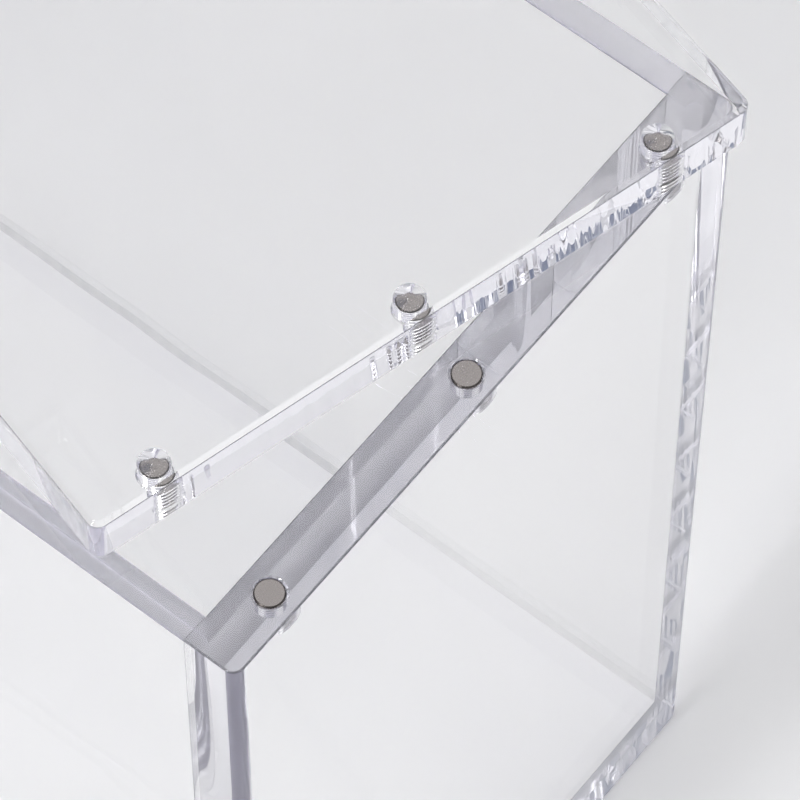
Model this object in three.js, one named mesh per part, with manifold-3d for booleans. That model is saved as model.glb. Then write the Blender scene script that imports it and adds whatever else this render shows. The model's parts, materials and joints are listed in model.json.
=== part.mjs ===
// Clear acrylic display case: a welded box of five cast sheets and a loose cover that magnets hold on its rim.
// Millimetres, +Z up. The origin is the middle of the base's underside. +X points at the front end wall, the
// welded end whose far magnet the cover turns about, and +Y runs along that wall.
import * as THREE from "three";
import { mergeVertices } from "three/addons/utils/BufferGeometryUtils.js";
import Module from "manifold-3d";

// The case
const caseLength = 220;
const caseWidth = 124.5;
const wallHeight = 205;
const baseThickness = 10;
const endThickness = 10;
const sideThickness = 5.2;
const cornerRadius = 2;

// The cover, stored as it lies in use: turned open about the far front magnet
const coverThickness = 10;
const coverOverhang = 0.25;
const coverChamfer = 0.8;
const coverSeatGap = 0.3;
const coverOpenAngle = 15;

// The magnets and the holes drilled for them
const magnetDiameter = 5;
const magnetLength = 5;
const magnetBevel = 0.3;
const magnetRecess = 0.1;
const magnetInset = 14.25;
const pocketClearance = 0.15;
const pocketEndGap = 0.15;
const drillPointAngle = 118;

// Steps of a full round, and how far a cutting tool passes the face that it opens
const roundSteps = 40;
const cutMargin = 1;

const rimHeight = baseThickness + wallHeight;
const coverLength = caseLength + 2 * coverOverhang;
const coverWidth = caseWidth + 2 * coverOverhang;
const sideLength = caseLength - 2 * endThickness;
const sideMiddle = (caseWidth - sideThickness) / 2;
const magnetLine = (caseLength - endThickness) / 2;
const magnetPitch = caseWidth / 2 - magnetInset;
const pocketDepth = magnetRecess + magnetLength + pocketEndGap;

const ends = [
  { name: "front", x: magnetLine },
  { name: "rear", x: -magnetLine },
];
const magnetPlaces = [
  { name: "near", y: -magnetPitch },
  { name: "middle", y: 0 },
  { name: "far", y: magnetPitch },
];
const pivot = { x: magnetLine, y: magnetPitch };

const castAcrylic = new THREE.MeshStandardMaterial({
  color: 0xe6e8ee,
  roughness: 0.03,
  metalness: 0,
  transparent: true,
  opacity: 0.3,
});
const nickelPlate = new THREE.MeshStandardMaterial({ color: 0x9c9793, roughness: 0.25, metalness: 1 });

const wasm = await Module();
wasm.setup();

function solidOf(geometry) {
  const bare = geometry.clone();
  bare.deleteAttribute("normal");
  bare.deleteAttribute("uv");
  const merged = mergeVertices(bare, 1e-4);
  return new wasm.Manifold(
    new wasm.Mesh({
      numProp: 3,
      vertProperties: merged.attributes.position.array,
      triVerts: new Uint32Array(merged.index.array),
    }),
  );
}

function geometryOf(solid) {
  const mesh = solid.getMesh();
  const geometry = new THREE.BufferGeometry();
  geometry.setAttribute("position", new THREE.BufferAttribute(mesh.vertProperties, 3));
  geometry.setIndex(new THREE.BufferAttribute(mesh.triVerts, 1));
  geometry.computeVertexNormals();
  return geometry;
}

function cut(blank, tools) {
  return geometryOf(tools.reduce((solid, tool) => solid.subtract(solidOf(tool)), solidOf(blank)));
}

// A turned solid about Z, from a profile of [radius, height] points that runs upwards from the axis to the axis.
function turned(profile) {
  const points = profile.map(([radius, height]) => new THREE.Vector2(radius, height));
  return new THREE.LatheGeometry(points, roundSteps).rotateX(Math.PI / 2);
}

// A sheet's outline seen from above, centred on the origin, with its rounded corners.
function sheetOutline(length, width) {
  const x = length / 2 - cornerRadius;
  const y = width / 2 - cornerRadius;
  const quarter = Math.PI / 2;
  const outline = new THREE.Shape();
  outline.absarc(x, y, cornerRadius, 0, quarter);
  outline.absarc(-x, y, cornerRadius, quarter, 2 * quarter);
  outline.absarc(-x, -y, cornerRadius, 2 * quarter, 3 * quarter);
  outline.absarc(x, -y, cornerRadius, 3 * quarter, 4 * quarter);
  outline.closePath();
  return outline;
}

// An end wall's outline: its two outer upright edges are rounded, and its welded inner face is square.
function endWallOutline() {
  const outer = endThickness / 2;
  const y = caseWidth / 2 - cornerRadius;
  const quarter = Math.PI / 2;
  const outline = new THREE.Shape();
  outline.moveTo(-outer, caseWidth / 2);
  outline.lineTo(-outer, -caseWidth / 2);
  outline.absarc(outer - cornerRadius, -y, cornerRadius, -quarter, 0);
  outline.absarc(outer - cornerRadius, y, cornerRadius, 0, quarter);
  outline.closePath();
  return outline;
}

function upright(outline, height) {
  return new THREE.ExtrudeGeometry(outline, {
    depth: height,
    bevelEnabled: false,
    curveSegments: roundSteps / 4,
  });
}

// The drilled holes keep the point that the drill leaves at their blind end.
const pocketRadius = magnetDiameter / 2 + pocketClearance;
const drillPoint = pocketRadius / Math.tan(THREE.MathUtils.degToRad(drillPointAngle / 2));

function pocketDown() {
  return turned([
    [0, -pocketDepth - drillPoint],
    [pocketRadius, -pocketDepth],
    [pocketRadius, cutMargin],
    [0, cutMargin],
  ]);
}

function pocketUp() {
  return turned([
    [0, -cutMargin],
    [pocketRadius, -cutMargin],
    [pocketRadius, pocketDepth],
    [0, pocketDepth + drillPoint],
  ]);
}

function magnetBody() {
  const radius = magnetDiameter / 2;
  return turned([
    [0, 0],
    [radius - magnetBevel, 0],
    [radius, magnetBevel],
    [radius, magnetLength - magnetBevel],
    [radius - magnetBevel, magnetLength],
    [0, magnetLength],
  ]);
}

function endWall() {
  const tools = magnetPlaces.map(({ y }) => pocketDown().translate(0, y, wallHeight));
  return cut(upright(endWallOutline(), wallHeight), tools);
}

// The cover's top edge is chamfered all round, and its underside is left square where it meets the rim.
function coverPanel() {
  const blank = new THREE.ExtrudeGeometry(sheetOutline(coverLength, coverWidth), {
    depth: coverThickness - coverChamfer,
    bevelEnabled: true,
    bevelThickness: coverChamfer,
    bevelSize: coverChamfer,
    bevelOffset: -coverChamfer,
    bevelSegments: 1,
    curveSegments: roundSteps / 4,
  });
  const below = new THREE.BoxGeometry(
    coverLength + cutMargin,
    coverWidth + cutMargin,
    coverChamfer + cutMargin,
  ).translate(0, 0, -(coverChamfer + cutMargin) / 2);
  const tools = ends.flatMap(({ x }) => magnetPlaces.map(({ y }) => pocketUp().translate(x, y, 0)));
  return cut(blank, [below, ...tools]);
}

function piece(name, geometry, material, x, y, z) {
  const mesh = new THREE.Mesh(geometry, material);
  mesh.name = name;
  mesh.position.set(x, y, z);
  return mesh;
}

const displayCase = new THREE.Group();

// The welded box
const baseSheet = upright(sheetOutline(caseLength, caseWidth), baseThickness);
displayCase.add(piece("base_panel", baseSheet, castAcrylic, 0, 0, 0));
const sideSheet = new THREE.BoxGeometry(sideLength, sideThickness, wallHeight);
const sideHeight = baseThickness + wallHeight / 2;
displayCase.add(piece("side_wall_near", sideSheet, castAcrylic, 0, -sideMiddle, sideHeight));
displayCase.add(piece("side_wall_far", sideSheet, castAcrylic, 0, sideMiddle, sideHeight));
for (const end of ends) {
  const wall = piece(`end_wall_${end.name}`, endWall(), castAcrylic, end.x, 0, baseThickness);
  wall.rotation.z = end.x > 0 ? 0 : Math.PI;
  displayCase.add(wall);
  for (const place of magnetPlaces) {
    const name = `wall_magnet_${end.name}_${place.name}`;
    const foot = rimHeight - magnetRecess - magnetLength;
    displayCase.add(piece(name, magnetBody(), nickelPlate, end.x, place.y, foot));
  }
}

// The cover and its magnets, turned together about the far front magnet
const cover = new THREE.Group();
cover.position.set(pivot.x, pivot.y, rimHeight + coverSeatGap);
cover.rotation.z = -THREE.MathUtils.degToRad(coverOpenAngle);
cover.add(piece("cover_panel", coverPanel(), castAcrylic, -pivot.x, -pivot.y, 0));
for (const end of ends) {
  for (const place of magnetPlaces) {
    const name = `cover_magnet_${end.name}_${place.name}`;
    const x = end.x - pivot.x;
    const y = place.y - pivot.y;
    cover.add(piece(name, magnetBody(), nickelPlate, x, y, magnetRecess));
  }
}
displayCase.add(cover);

export default displayCase;
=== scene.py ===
import json
import math

import bmesh
import bpy
from mathutils import Matrix, Vector


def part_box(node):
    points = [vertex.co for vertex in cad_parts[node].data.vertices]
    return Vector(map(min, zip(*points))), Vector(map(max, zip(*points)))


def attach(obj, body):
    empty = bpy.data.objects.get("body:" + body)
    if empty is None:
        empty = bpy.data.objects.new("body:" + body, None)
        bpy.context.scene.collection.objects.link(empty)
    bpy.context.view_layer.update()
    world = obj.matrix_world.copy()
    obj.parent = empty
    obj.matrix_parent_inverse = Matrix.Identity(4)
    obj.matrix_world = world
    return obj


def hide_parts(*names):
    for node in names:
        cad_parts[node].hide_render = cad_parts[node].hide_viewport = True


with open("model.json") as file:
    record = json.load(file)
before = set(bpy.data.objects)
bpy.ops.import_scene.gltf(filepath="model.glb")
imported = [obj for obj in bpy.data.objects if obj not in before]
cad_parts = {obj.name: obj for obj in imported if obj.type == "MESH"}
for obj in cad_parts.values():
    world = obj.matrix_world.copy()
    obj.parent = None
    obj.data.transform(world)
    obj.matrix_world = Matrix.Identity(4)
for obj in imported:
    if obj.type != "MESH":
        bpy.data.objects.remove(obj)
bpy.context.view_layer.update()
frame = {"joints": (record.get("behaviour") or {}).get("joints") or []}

# Base panel: one cast acrylic sheet, sawn to size, its edges flame-polished and its corners rounded.
# The four walls stand on it, held by solvent that melts the two faces into each other.
MM = 0.001
TINY = 0.01 * MM
CORNER_RADIUS = 2 * MM
CORNER_STEPS = 24
ARRIS = 0.3 * MM
ARRIS_STEPS = 3


def linear(hex_colour):
    """An sRGB hex colour as the linear numbers that a shader socket takes."""
    channels = [int(hex_colour[i : i + 2], 16) / 255 for i in (1, 3, 5)]
    return [c / 12.92 if c <= 0.04045 else ((c + 0.055) / 1.055) ** 2.4 for c in channels] + [1]


def add_node(tree, kind, settings=None, **sockets):
    """Adds a node: settings are its own fields. A socket is named with _ for a space, or by i and its number,
    and takes a value or another node's output."""
    node = tree.nodes.new(kind)
    for name, value in (settings or {}).items():
        setattr(node, name, value)
    for name, value in sockets.items():
        socket = node.inputs[int(name[1:]) if name[1:].isdigit() else name.replace("_", " ")]
        if isinstance(value, bpy.types.NodeSocket):
            tree.links.new(value, socket)
        else:
            socket.default_value = value
    return node


def new_material(name):
    material = bpy.data.materials.new(name)
    material.use_nodes = True
    material.node_tree.nodes.clear()
    return material


WAVE_STEEPNESS = 0.006
WAVE_STRETCH = 10
WAVE_WANDER = 2.5
WANDER_DETAIL = 1.0
WANDER_SCALE = 0.5
TEXTURE_TURN = 10  # radians that the wave texture goes through in each unit of its own scale
SWELL_LENGTH = 20 * MM
CLEAR_COLOUR = "#ffffff"
# Grey for duller faces. On welds and scraped edges it is painted shade.
DULL_AND_SHADE_GREY = "#808085"
DULL_ROUGHNESS = 0.15
LILAC = "#dad6f1"
LILAC_DENSITY = 0.7
ACRYLIC_IOR = 1.49


def cast_acrylic(name, wave_length, swell):
    """Cast acrylic (PMMA): optically clear, with mirror-smooth cast faces. A lying sheet swells a little,
    which blurs what is seen along it. The saw leaves upright waves in the cut edges and the flame rounds
    them over, so they break up what is seen in them. Scraped edges, drilled holes and welds are duller and
    tinted grey. On the welds the grey is painted shade, and on the scraped edges it is a painted dark line.
    Over a long way through the sheet it is faintly lilac."""
    material = new_material(name)
    tree = material.node_tree
    place = add_node(tree, "ShaderNodeTexCoord").outputs["Object"]
    upright = add_node(tree, "ShaderNodeMapping", Vector=place, Scale=(1, 1, 1 / WAVE_STRETCH))
    waves = add_node(tree, "ShaderNodeTexWave", {"bands_direction": "DIAGONAL"}, Vector=upright.outputs[0],
                     Scale=math.tau / (TEXTURE_TURN * wave_length), Distortion=WAVE_WANDER,
                     Detail=WANDER_DETAIL, Detail_Scale=WANDER_SCALE)
    edge = add_node(tree, "ShaderNodeAttribute", {"attribute_name": "cut_edge"})
    on_edge = add_node(tree, "ShaderNodeMath", {"operation": "MULTIPLY"},
                       i0=waves.outputs["Fac"], i1=edge.outputs["Fac"])
    broad = add_node(tree, "ShaderNodeTexNoise", Vector=place, Scale=1 / SWELL_LENGTH, Detail=0.0)
    swollen = add_node(tree, "ShaderNodeMath", {"operation": "MULTIPLY"},
                       i0=broad.outputs["Fac"], i1=swell)
    height = add_node(tree, "ShaderNodeMath", {"operation": "MULTIPLY_ADD"}, i0=on_edge.outputs[0],
                      i1=WAVE_STEEPNESS * wave_length, i2=swollen.outputs[0])
    bump = add_node(tree, "ShaderNodeBump", Strength=1.0, Distance=1.0, Height=height.outputs[0])
    # Dull faces are rougher and tinted grey. On welds and scraped edges the grey is painted shade.
    dulled_and_shaded = add_node(tree, "ShaderNodeAttribute", {"attribute_name": "dull"})
    clear = add_node(tree, "ShaderNodeMix", {"data_type": "RGBA"}, i0=dulled_and_shaded.outputs["Fac"],
                     i6=linear(CLEAR_COLOUR), i7=linear(DULL_AND_SHADE_GREY))
    rough = add_node(tree, "ShaderNodeMath", {"operation": "MULTIPLY"}, i0=dulled_and_shaded.outputs["Fac"],
                     i1=DULL_ROUGHNESS)
    surface = add_node(tree, "ShaderNodeBsdfPrincipled", Base_Color=clear.outputs[2],
                       Roughness=rough.outputs[0], IOR=ACRYLIC_IOR, Transmission_Weight=1.0,
                       Normal=bump.outputs["Normal"])
    tint = add_node(tree, "ShaderNodeVolumeAbsorption", Color=linear(LILAC), Density=LILAC_DENSITY)
    add_node(tree, "ShaderNodeOutputMaterial", Surface=surface.outputs[0], Volume=tint.outputs[0])
    return material


LYING_WAVES = 5 * MM
LYING_SWELL = 0.08 * MM
FACING = 0.9  # cosine above which a face counts as facing a direction

lying_acrylic = cast_acrylic("clear_cast_acrylic_lying", LYING_WAVES, LYING_SWELL)


def block(low, high):
    """A bmesh box between two corners, with nothing dull on it yet."""
    shape = bmesh.new()
    shape.faces.layers.float.new("dull")
    place = Matrix.Translation((low + high) / 2) @ Matrix.Diagonal((*(high - low), 1))
    bmesh.ops.create_cube(shape, size=1, matrix=place)
    return shape


def round_edges(shape, edges, radius, steps):
    """Rounds edges over, or chamfers them in one step. The flat faces beside them stay flat-shaded."""
    made = bmesh.ops.bevel(shape, geom=edges, offset=radius, affect="EDGES", segments=steps, profile=0.5,
                           material=-1)
    for face in made["faces"]:
        face.smooth = steps > 1
    return made["faces"]


def upright_edges(shape):
    return [e for e in shape.edges if abs(e.verts[0].co.z - e.verts[1].co.z) > MM]


def outline_edges(shape, height):
    """The edges round the level face at a height."""
    return [e for e in shape.edges if all(abs(v.co.z - height) < TINY for v in e.verts)]


def mark_cut_edges(shape, outward):
    """Marks the open faces that the saw cut: those that face along one of the outward directions."""
    layer = shape.faces.layers.float.new("cut_edge")
    for face in shape.faces:
        face.normal_update()
        face[layer] = float(any(abs(face.normal.dot(way)) > FACING for way in outward))


def finish_piece(name, shape, material, body):
    """Turns a bmesh into a piece that rides on a body and stands for the frame's node of its name."""
    mesh = bpy.data.meshes.new(name)
    shape.to_mesh(mesh)
    shape.free()
    mesh.materials.append(material)
    piece = bpy.data.objects.new(name + "_look", mesh)
    bpy.context.scene.collection.objects.link(piece)
    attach(piece, body)
    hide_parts(name)


base_low, base_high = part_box("base_panel")
base = block(base_low, base_high)
mark_cut_edges(base, [Vector((1, 0, 0)), Vector((0, 1, 0))])
round_edges(base, upright_edges(base), CORNER_RADIUS, CORNER_STEPS)
round_edges(base, outline_edges(base, base_low.z), ARRIS, ARRIS_STEPS)
finish_piece("base_panel", base, lying_acrylic, "case")

# Side walls: two thinner cast sheets on edge, welded between the end walls and onto the base. Their ends
# and feet reach a hair into the neighbours, as the melted joint does. The foot of a wall is tinted grey as
# painted shade, for the shade on the floor under the wall. It shows in the wall's top edge, because light
# runs down the inside of the clear sheet as in a pipe.
SIDES = ("side_wall_near", "side_wall_far")
WELD_DEPTH = 0.05 * MM
# Amount of painted shade on a side wall's foot.
SIDE_FOOT_SHADE = 0.4
UPRIGHT_WAVES = 13 * MM
UPRIGHT_SWELL = 0


def paint_foot_shade(shape, foot_shade):
    """Paints shade on the foot of a wall, as a duller grey tint. The function given reads its amount from
    where a face's middle is.
    """
    layer = shape.faces.layers.float["dull"]
    for face in shape.faces:
        face.normal_update()
        if face.normal.z < -FACING:
            face[layer] = foot_shade(face.calc_center_median())


upright_acrylic = cast_acrylic("clear_cast_acrylic_upright", UPRIGHT_WAVES, UPRIGHT_SWELL)
for node in SIDES:
    low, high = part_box(node)
    weld = Vector((WELD_DEPTH, 0, 0))
    side = block(low - weld - Vector((0, 0, WELD_DEPTH)), high + weld)
    long_edges = [e for e in outline_edges(side, high.z) if e.calc_length() > high.y - low.y]
    round_edges(side, long_edges, ARRIS, ARRIS_STEPS)
    # Painted shade on the foot, seen down the wall in its top edge.
    paint_foot_shade(side, lambda middle: SIDE_FOOT_SHADE)
    finish_piece(node, side, upright_acrylic, "case")

# End walls: thick cast sheet, its outer upright edges rounded. Three blind holes are drilled into the top
# edge of each for the magnets. The drill leaves its blunt point with a small pip, and rings down the wall.
# The foot's painted shade is lighter under the wall's outer part than under its inner part.
# Painted shade on an end wall's foot: heavier on the inner part up to this far from the inner face, lighter
# beyond.
FOOT_SHADE_SPLIT = 5.1 * MM
INNER_FOOT_SHADE = 0.82
OUTER_FOOT_SHADE = 0.1
HOLE_CLEARANCE = 0.15 * MM
HOLE_MOUTH = 0.3 * MM
HOLE_STEPS = 64
HOLE_DULLNESS = 0.45
POINT_DULLNESS = 0.08
DRILL_SLOPE = math.radians(31)
TIP_RADIUS = 0.9 * MM
TIP_STEPS = 6
RING_COUNT = 5
RING_STEPS = 10
RING_HEIGHT = 0.12 * MM
PIP_RADIUS = 0.25 * MM
PIP_HEIGHT = 0.1 * MM
CUT_MARGIN = 0.5 * MM
MERGE_DISTANCE = 0.001 * MM
SHARP_ANGLE = math.radians(35)

magnet_low, magnet_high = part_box("wall_magnet_front_near")
wall_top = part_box("end_wall_front")[1].z
hole_radius = (magnet_high.x - magnet_low.x) / 2 + HOLE_CLEARANCE
hole_depth = wall_top - magnet_low.z + HOLE_CLEARANCE


def scrape_and_shade_edges(shape, edges, radius):
    """Breaks sharp edges with a scraper, which leaves a narrow rounded strip that isn't polished. The strip
    is tinted fully grey, a painted dark line along the edge.
    """
    layer = shape.faces.layers.float["dull"]
    for face in round_edges(shape, edges, radius, ARRIS_STEPS):
        face[layer] = 1.0


def drilled_hole(mouth, direction):
    """The space that the drill takes away: a blunt point with a pip, a ringed wall, a broken mouth and a
    bit beyond it. direction is +1 for a hole that goes up and -1 for one that goes down."""
    shape = bmesh.new()
    layer = shape.faces.layers.float.new("dull")
    ball = TIP_RADIUS / math.sin(DRILL_SLOPE)
    cone_height = (hole_radius - TIP_RADIUS) * math.tan(DRILL_SLOPE)
    ball_height = hole_depth + cone_height - ball * math.cos(DRILL_SLOPE)
    profile = [(0, ball_height + ball + PIP_HEIGHT)]
    pip_turn = math.asin(PIP_RADIUS / ball)
    for step in range(TIP_STEPS + 1):
        turn = pip_turn + (DRILL_SLOPE - pip_turn) * step / TIP_STEPS
        profile.append((ball * math.sin(turn), ball_height + ball * math.cos(turn)))
    for step in range(RING_COUNT * RING_STEPS, -1, -1):
        ring = (1 - math.cos(math.tau * step / RING_STEPS)) / 2
        up_the_wall = (hole_depth - HOLE_MOUTH) * step / (RING_COUNT * RING_STEPS)
        profile.append((hole_radius - RING_HEIGHT * ring, HOLE_MOUTH + up_the_wall))
    profile.append((hole_radius + HOLE_MOUTH, 0))
    profile.append((hole_radius + HOLE_MOUTH, -CUT_MARGIN))
    profile.append((0, -CUT_MARGIN))
    points = [shape.verts.new((radius, 0, direction * depth)) for radius, depth in profile]
    edges = [shape.edges.new(pair) for pair in zip(points, points[1:])]
    bmesh.ops.spin(shape, geom=points + edges, axis=(0, 0, 1), cent=(0, 0, 0), angle=math.tau,
                   steps=HOLE_STEPS, use_merge=True)
    bmesh.ops.remove_doubles(shape, verts=shape.verts, dist=MERGE_DISTANCE)
    bmesh.ops.recalc_face_normals(shape, faces=shape.faces)
    for face in shape.faces:
        face.smooth = True
        at_point = abs(face.calc_center_median().z) > hole_depth
        face[layer] = POINT_DULLNESS if at_point else HOLE_DULLNESS
    bmesh.ops.translate(shape, verts=shape.verts, vec=mouth)
    return shape


def drill(shape, holes):
    """Cuts the holes out of a bmesh with an exact boolean, and hands the cut shape back."""
    objects = []
    for part in (shape, *holes):
        mesh = bpy.data.meshes.new("drilling")
        part.to_mesh(mesh)
        part.free()
        objects.append(bpy.data.objects.new("drilling", mesh))
        bpy.context.scene.collection.objects.link(objects[-1])
    for cutter in objects[1:]:
        cut = objects[0].modifiers.new("drill", "BOOLEAN")
        cut.object = cutter
        cut.operation = "DIFFERENCE"
        cut.solver = "EXACT"
    result = bmesh.new()
    result.from_object(objects[0], bpy.context.evaluated_depsgraph_get())
    for used in objects:
        bpy.data.objects.remove(used)
    return result


def keep_sharp(shape):
    """Keeps the shading apart at the sharp edges between smooth faces."""
    for edge in shape.edges:
        edge.smooth = edge.calc_face_angle(math.pi) < SHARP_ANGLE


def middle_of(node):
    low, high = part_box(node)
    return (low + high) / 2


def cut_through(shape, elements, point, normal):
    """Adds the edges where a plane crosses the given elements, without opening the shape."""
    bmesh.ops.bisect_plane(shape, geom=elements, plane_co=point, plane_no=normal)


def is_open(edge, inner, joint_line):
    """Whether an edge of an end wall's top can be scraped: not one that lies in the top face, and not one in
    the joint with a side wall, which is on the inner face and past the side wall's own."""
    middle = (edge.verts[0].co + edge.verts[1].co) / 2
    in_joint = abs(middle.x - inner) < TINY and abs(middle.y) > joint_line
    in_face = len({face.normal.to_tuple(2) for face in edge.link_faces}) == 1
    return not in_joint and not in_face


PLACES = ("near", "middle", "far")
joint_line = min(abs(corner.y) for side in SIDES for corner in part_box(side))
for end, outward in (("front", 1), ("rear", -1)):
    low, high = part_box(f"end_wall_{end}")
    wall = block(low - Vector((0, 0, WELD_DEPTH)), high)
    mark_cut_edges(wall, [Vector((0, 1, 0))])
    inner, outer = (low.x, high.x) if outward > 0 else (high.x, low.x)
    split = inner + outward * FOOT_SHADE_SPLIT
    foot = next(f for f in wall.faces if f.normal.z < -FACING)
    cut_through(wall, [foot, *foot.edges, *foot.verts], (split, 0, 0), (1, 0, 0))
    # Painted shade on the foot: heavier on its inner part than on its outer part.
    paint_foot_shade(wall, lambda m: INNER_FOOT_SHADE if (m.x - split) * outward < 0 else OUTER_FOOT_SHADE)
    outer_edges = [e for e in upright_edges(wall) if abs(e.verts[0].co.x - outer) < TINY]
    round_edges(wall, outer_edges, CORNER_RADIUS, CORNER_STEPS)
    for y in (-joint_line, joint_line):
        cut_through(wall, [*wall.faces, *wall.edges, *wall.verts], (0, y, 0), (0, 1, 0))
    top_edges = [e for e in outline_edges(wall, high.z) if is_open(e, inner, joint_line)]
    # Top edges: rounded, and tinted grey as a painted dark line.
    scrape_and_shade_edges(wall, top_edges, ARRIS)
    holes = []
    for place in PLACES:
        middle = middle_of(f"wall_magnet_{end}_{place}")
        holes.append(drilled_hole(Vector((middle.x, middle.y, high.z)), -1))
    wall = drill(wall, holes)
    keep_sharp(wall)
    finish_piece(f"end_wall_{end}", wall, upright_acrylic, "case")

# Magnets: sintered rods, nickel-plated all over, their edges tumbled round, glued into the drilled holes.
# The rounded edges are painted dark, as painted shade for the dark ring round each magnet in its hole.
# One in each hole of the end walls and of the cover, face to face when the case is closed.
MAGNET_ROUNDING = 0.22 * MM
ROUNDING_STEPS = 4
MAGNET_STEPS = 64
MARK_SIZE = 0.3 * MM
MARK_DETAIL = 2.0
MARK_DEPTH = 0.001 * MM
MARK_STRENGTH = 0.03
NICKEL_DARKER = "#aca6a4"
NICKEL_LIGHTER = "#b0aaa8"
# Painted shade on the magnets' rounded edges.
SHADED_EDGE_NICKEL = "#4a4644"
SMOOTHEST = 0.24
ROUGHEST = 0.3


def nickel_plate():
    """Nickel plate on a ground rod: a slightly warm grey mirror, dulled by fine tumbling marks. They are
    drawn coarser than real ones, so that they show. The faces that the attribute marks, the rounded edges,
    are painted dark as painted shade."""
    material = new_material("tumbled_nickel_plate")
    tree = material.node_tree
    place = add_node(tree, "ShaderNodeTexCoord").outputs["Object"]
    marks = add_node(tree, "ShaderNodeTexNoise", Vector=place, Scale=1 / MARK_SIZE, Detail=MARK_DETAIL)
    tone = add_node(tree, "ShaderNodeMix", {"data_type": "RGBA"}, i0=marks.outputs["Fac"],
                    i6=linear(NICKEL_DARKER), i7=linear(NICKEL_LIGHTER))
    # Painted shade on the rounded edges.
    edge_shade = add_node(tree, "ShaderNodeAttribute", {"attribute_name": "painted_shade_edge"})
    tone = add_node(tree, "ShaderNodeMix", {"data_type": "RGBA"}, i0=edge_shade.outputs["Fac"],
                    i6=tone.outputs[2], i7=linear(SHADED_EDGE_NICKEL))
    dull = add_node(tree, "ShaderNodeMapRange", Value=marks.outputs["Fac"], To_Min=SMOOTHEST, To_Max=ROUGHEST)
    grain = add_node(tree, "ShaderNodeBump", Strength=MARK_STRENGTH, Distance=MARK_DEPTH,
                     Height=marks.outputs["Fac"])
    surface = add_node(tree, "ShaderNodeBsdfPrincipled", Base_Color=tone.outputs[2], Metallic=1.0,
                       Roughness=dull.outputs[0], Normal=grain.outputs["Normal"])
    add_node(tree, "ShaderNodeOutputMaterial", Surface=surface.outputs[0])
    return material


nickel = nickel_plate()


def magnet(node, body):
    low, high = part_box(node)
    radius = (high.x - low.x) / 2
    centre = (low + high) / 2
    shape = bmesh.new()
    bmesh.ops.create_cone(shape, cap_ends=True, segments=MAGNET_STEPS, radius1=radius, radius2=radius,
                          depth=high.z - low.z, matrix=Matrix.Translation(centre))
    for face in shape.faces:
        face.smooth = len(face.verts) == 4
    # Marks the rounded edges for painted shade.
    layer = shape.faces.layers.float.new("painted_shade_edge")
    caps = outline_edges(shape, low.z) + outline_edges(shape, high.z)
    for face in round_edges(shape, caps, MAGNET_ROUNDING, ROUNDING_STEPS):
        face[layer] = 1.0
    finish_piece(node, shape, nickel, body)


for end in ("front", "rear"):
    for place in PLACES:
        magnet(f"wall_magnet_{end}_{place}", "case")
        turning = (end, place) == ("front", "far")
        magnet(f"cover_magnet_{end}_{place}", "turning_magnet" if turning else "cover")

# Cover: one thick cast sheet with rounded corners and a polished chamfer round its top. Six blind holes are
# drilled into its underside. It lies loose on the rim, swung open about the far magnet of the front end.
COVER_OVERHANG = 0.25 * MM
COVER_CHAMFER = 0.8 * MM
COVER_ARRIS = 0.12 * MM

swing = next(joint for joint in frame["joints"] if joint["name"] == "cover_swing")
pivot = Vector(swing["pos_m"])
open_angle = math.radians(swing["range_deg"][1])
cover_low, cover_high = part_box("cover_panel")
reach = Vector((COVER_OVERHANG, COVER_OVERHANG, 0))
low = Vector((base_low.x, base_low.y, cover_low.z)) - reach
high = Vector((base_high.x, base_high.y, cover_high.z)) + reach
cover = block(low, high)
mark_cut_edges(cover, [Vector((1, 0, 0)), Vector((0, 1, 0))])
round_edges(cover, upright_edges(cover), CORNER_RADIUS, CORNER_STEPS)
round_edges(cover, outline_edges(cover, high.z), COVER_CHAMFER, 1)
# The chamfer's lower edge: rounded, and tinted grey as a painted dark line.
scrape_and_shade_edges(cover, outline_edges(cover, high.z - COVER_CHAMFER), COVER_ARRIS)
holes = []
for end in ("front", "rear"):
    for place in PLACES:
        middle = middle_of(f"wall_magnet_{end}_{place}")
        holes.append(drilled_hole(Vector((middle.x, middle.y, low.z)), 1))
cover = drill(cover, holes)
keep_sharp(cover)
bmesh.ops.rotate(cover, verts=cover.verts, cent=pivot, matrix=Matrix.Rotation(-open_angle, 3, "Z"))
finish_piece("cover_panel", cover, lying_acrylic, "cover")

# Floor: a plain pale sweep of paper, a hair below the case. To the camera, and in what the acrylic and the
# magnets show of it, it glows a little, as paper does that is lit from all round.
FLOOR_SIZE = 6.0
FLOOR_GAP = 0.2 * MM
FLOOR_COLOUR = "#e6e6e7"
FLOOR_GLOW = 0.2
floor_shape = bmesh.new()
bmesh.ops.create_grid(floor_shape, x_segments=1, y_segments=1, size=FLOOR_SIZE / 2)
bmesh.ops.translate(floor_shape, verts=floor_shape.verts, vec=(0, 0, -FLOOR_GAP))
floor_mesh = bpy.data.meshes.new("floor")
floor_shape.to_mesh(floor_mesh)
floor_shape.free()
floor = bpy.data.objects.new("floor", floor_mesh)
bpy.context.scene.collection.objects.link(floor)
paper = new_material("pale_paper")
tree = paper.node_tree
ray = add_node(tree, "ShaderNodeLightPath").outputs
through = add_node(tree, "ShaderNodeMath", {"operation": "MAXIMUM"},
                   i0=ray["Is Glossy Ray"], i1=ray["Is Transmission Ray"])
seen = add_node(tree, "ShaderNodeMath", {"operation": "MAXIMUM"},
                i0=ray["Is Camera Ray"], i1=through.outputs[0])
share = add_node(tree, "ShaderNodeMath", {"operation": "MULTIPLY"}, i0=seen.outputs[0], i1=FLOOR_GLOW)
lit = add_node(tree, "ShaderNodeBsdfDiffuse", Color=linear(FLOOR_COLOUR))
glow = add_node(tree, "ShaderNodeEmission", Color=linear(FLOOR_COLOUR), Strength=1.0)
mixed = add_node(tree, "ShaderNodeMixShader", i0=share.outputs[0], i1=lit.outputs[0], i2=glow.outputs[0])
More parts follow.
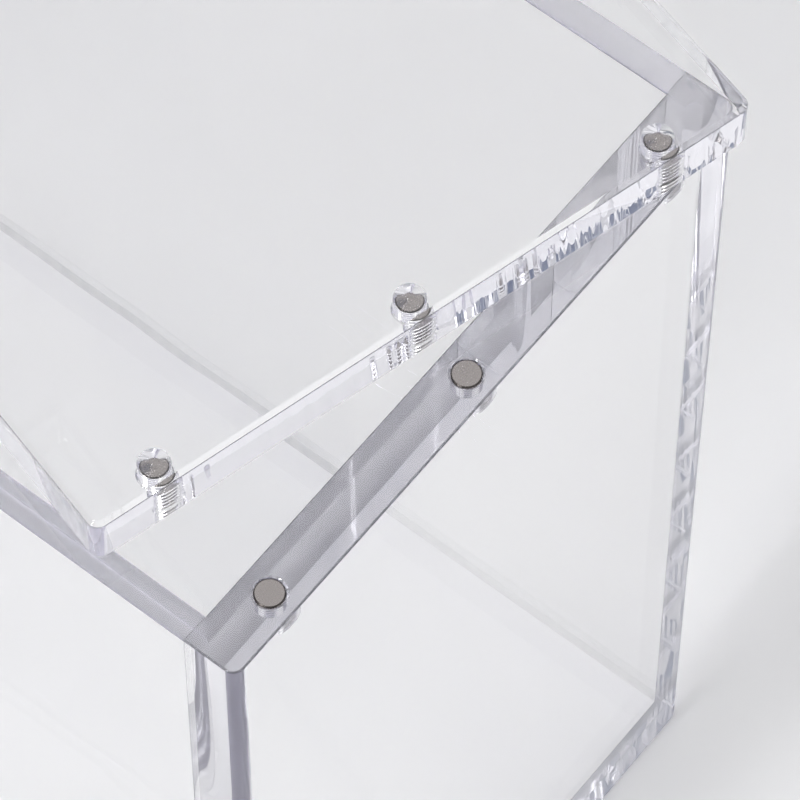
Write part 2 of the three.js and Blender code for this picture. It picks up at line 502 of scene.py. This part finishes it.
add_node(tree, "ShaderNodeOutputMaterial", Surface=mixed.outputs[0])
floor_mesh.materials.append(paper)

# Light: a pale studio, greyer near the horizon than overhead, and one broad soft lamp on the left. The lamp
# draws the case's faint shadow on the right.
WALL_LINE = 0.05
CEILING_LINE = 0.45
WALL_COLOUR = "#9a9ea9"
CEILING_COLOUR = "#f4f4f5"
STUDIO_STRENGTH = 0.87
studio = bpy.data.worlds.new("studio")
bpy.context.scene.world = studio
studio.use_nodes = True
studio.node_tree.nodes.clear()
tree = studio.node_tree
way = add_node(tree, "ShaderNodeTexCoord").outputs["Generated"]
height = add_node(tree, "ShaderNodeSeparateXYZ", Vector=way).outputs["Z"]
lifted = add_node(tree, "ShaderNodeMapRange", {"interpolation_type": "SMOOTHSTEP"}, Value=height,
                  From_Min=WALL_LINE, From_Max=CEILING_LINE)
tone = add_node(tree, "ShaderNodeMix", {"data_type": "RGBA"}, i0=lifted.outputs[0],
                i6=linear(WALL_COLOUR), i7=linear(CEILING_COLOUR))
sky = add_node(tree, "ShaderNodeBackground", Color=tone.outputs[2], Strength=STUDIO_STRENGTH)
add_node(tree, "ShaderNodeOutputWorld", Surface=sky.outputs[0])

LAMP_PLACE = Vector((-0.15, -1.2, 1.2))
LAMP_WIDTH = 0.3
LAMP_LENGTH = 1.2
LAMP_WATTS = 23
lamp_data = bpy.data.lights.new("soft_lamp", "AREA")
lamp_data.shape = "RECTANGLE"
lamp_data.size = LAMP_WIDTH
lamp_data.size_y = LAMP_LENGTH
lamp_data.energy = LAMP_WATTS
lamp = bpy.data.objects.new("soft_lamp", lamp_data)
to_case = (-LAMP_PLACE).to_track_quat("-Z", "Y").to_matrix().to_4x4()
lamp.matrix_world = Matrix.Translation(LAMP_PLACE) @ to_case
bpy.context.scene.collection.objects.link(lamp)

# Flags: blue-grey cards hung high on the left, outside the picture, where light that runs along the cover
# and turns at its far edge comes from. They draw the dark stripes in the far half of its front edge.
FLAG_COUNT = 5
FLAG_PITCH = 0.14
FLAG_WIDTH = 0.1
FLAG_HEIGHT = 0.7
FLAG_PLACE = Vector((-0.676, -0.269, 1.31))
FLAG_COLOUR = "#66738f"
flag_shape = bmesh.new()
for count in range(FLAG_COUNT):
    aside = Matrix.Translation(((count - (FLAG_COUNT - 1) / 2) * FLAG_PITCH, 0, 0))
    size = Matrix.Diagonal((FLAG_WIDTH, FLAG_HEIGHT, 1, 1))
    bmesh.ops.create_grid(flag_shape, x_segments=1, y_segments=1, size=0.5, matrix=aside @ size)
facing = Matrix.Translation(FLAG_PLACE) @ FLAG_PLACE.to_track_quat("Z", "Y").to_matrix().to_4x4()
bmesh.ops.transform(flag_shape, verts=flag_shape.verts, matrix=facing)
flag_mesh = bpy.data.meshes.new("flags")
flag_shape.to_mesh(flag_mesh)
flag_shape.free()
flag = bpy.data.objects.new("flags", flag_mesh)
bpy.context.scene.collection.objects.link(flag)
card = new_material("blue_grey_card")
matt = add_node(card.node_tree, "ShaderNodeBsdfDiffuse", Color=linear(FLAG_COLOUR))
add_node(card.node_tree, "ShaderNodeOutputMaterial", Surface=matt.outputs[0])
flag_mesh.materials.append(card)

# Camera: the photograph's view, fitted to the case's edges. A long lens looks steeply down on the front end
# from its near corner.
VIEW_AZIMUTH = math.radians(38.22)
VIEW_ELEVATION = math.radians(61.40)
VIEW_ROLL = math.radians(0.18)
VIEW_DISTANCE = 905.4 * MM
VIEW_TARGET = Vector((99.91 * MM, -10.03 * MM, 215 * MM))
FOCAL_PIXELS = 5926
FRAME_PIXELS = 800
SENSOR_MM = 36

camera_data = bpy.data.cameras.new("camera")
camera_data.sensor_width = SENSOR_MM
camera_data.lens = FOCAL_PIXELS / FRAME_PIXELS * SENSOR_MM
camera = bpy.data.objects.new("camera", camera_data)
turn = Matrix.Rotation(VIEW_AZIMUTH, 4, "Z") @ Matrix.Rotation(math.pi / 2 - VIEW_ELEVATION, 4, "X")
camera.matrix_world = (Matrix.Translation(VIEW_TARGET) @ turn @ Matrix.Rotation(VIEW_ROLL, 4, "Z")
                       @ Matrix.Translation((0, 0, VIEW_DISTANCE)))
bpy.context.scene.collection.objects.link(camera)
bpy.context.scene.camera = camera
bpy.context.scene.view_settings.view_transform = "Standard"

# Light goes to and fro many times inside thick clear sheet, so a ray may turn that often before it is lost,
# and no turn blurs it.
INNER_TURNS = 400
cycles = bpy.context.scene.cycles
cycles.max_bounces = INNER_TURNS
cycles.glossy_bounces = INNER_TURNS
cycles.transmission_bounces = INNER_TURNS
cycles.blur_glossy = 0
